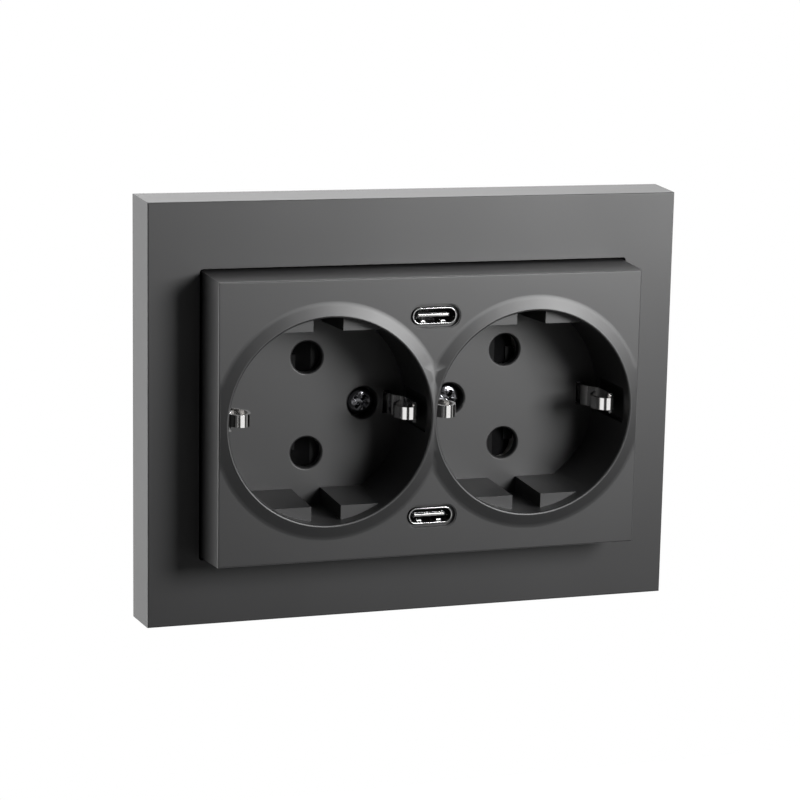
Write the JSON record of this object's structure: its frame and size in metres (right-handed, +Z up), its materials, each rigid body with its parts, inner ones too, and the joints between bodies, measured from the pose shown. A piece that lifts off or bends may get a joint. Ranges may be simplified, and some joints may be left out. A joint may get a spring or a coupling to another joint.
{
  "type": "wall socket",
  "caption": "Twin earthed wall socket in a flat surround frame, with charging ports above and below between the wells, on a flush-mounted body.",
  "frame": {"origin": "middle of the device on the plane of the wall, between the two fixing slots of the support plate", "axes": "+X to the right as seen from the room, +Y into the wall, +Z up; the front faces -Y"},
  "size_m": [0.1082, 0.0528, 0.0832],
  "materials": {
    "frame_plastic": "anthracite, fine matte moulded texture",
    "cover_plastic": "anthracite, fine matte moulded texture",
    "screw_steel": "bright zinc",
    "port_shell": "nickel-plated sheet",
    "port_insulator": "black moulded",
    "earth_strip": "bright nickel-plated spring strip",
    "contact_brass": "plain rolled",
    "shutter_plastic": "dark grey moulded",
    "spring_steel": "drawn wire",
    "plate_steel": "zinc-plated sheet",
    "carrier_plastic": "light grey moulded",
    "sheet_insulation": "pressed insulating sheet",
    "circuit_board": "solder resist on glass laminate",
    "ferrite": "sintered ferrite",
    "winding_tape": "yellow polyester tape",
    "capacitor_sleeve": "shrunk sleeve",
    "fuse_body": "ceramic tube with metal caps",
    "housing_plastic": "black moulded"
  },
  "bodies": {
    "device": {"cover_frame": "frame_plastic", "socket_cover": "cover_plastic", "well_floor_left": "cover_plastic", "well_floor_right": "cover_plastic", "port_holder_top": "carrier_plastic", "port_holder_bottom": "carrier_plastic", "housing_back": "housing_plastic", "cover_screw_left": "screw_steel", "cover_screw_right": "screw_steel", "usb_shell_top": "port_shell", "usb_shell_bottom": "port_shell", "usb_tongue_top": "port_insulator", "usb_tongue_bottom": "port_insulator", "earth_strap_left": "earth_strip", "earth_strap_right": "earth_strip", "earth_rail": "contact_brass", "shutter_spring_left_top": "spring_steel", "shutter_spring_left_bottom": "spring_steel", "shutter_spring_right_top": "spring_steel", "shutter_spring_right_bottom": "spring_steel", "support_plate": "plate_steel", "contact_carrier": "carrier_plastic", "line_contact_bar": "contact_brass", "neutral_contact_bar": "contact_brass", "terminal_line": "contact_brass", "terminal_neutral": "contact_brass", "terminal_earth": "contact_brass", "terminal_screws": "screw_steel", "insulating_sheet": "sheet_insulation", "power_board": "circuit_board", "supply_pins": "contact_brass", "port_board_top": "circuit_board", "port_board_bottom": "circuit_board", "port_link_top": "port_insulator", "port_link_bottom": "port_insulator", "transformer_core": "ferrite", "transformer_coil": "winding_tape", "mains_capacitor": "capacitor_sleeve", "output_capacitor": "capacitor_sleeve", "filter_choke": "ferrite", "mains_fuse": "fuse_body", "rear_housing": "housing_plastic", "housing_screws": "screw_steel"},
    "left_shutter": {"shutter_left": "shutter_plastic"},
    "right_shutter": {"shutter_right": "shutter_plastic"}
  },
  "joints": [
    {"name": "left_shutter_slide", "type": "slide", "parent": "device", "child": "left_shutter", "axis": [1, 0, 0], "range_m": [0, 0.0063], "stiffness_N_per_m": 60, "springref_m": -0.002, "deforming": ["shutter_spring_left_top", "shutter_spring_left_bottom"]},
    {"name": "right_shutter_slide", "type": "slide", "parent": "device", "child": "right_shutter", "axis": [-1, 0, 0], "range_m": [0, 0.0063], "stiffness_N_per_m": 60, "springref_m": -0.002, "deforming": ["shutter_spring_right_top", "shutter_spring_right_bottom"]}
  ]
}
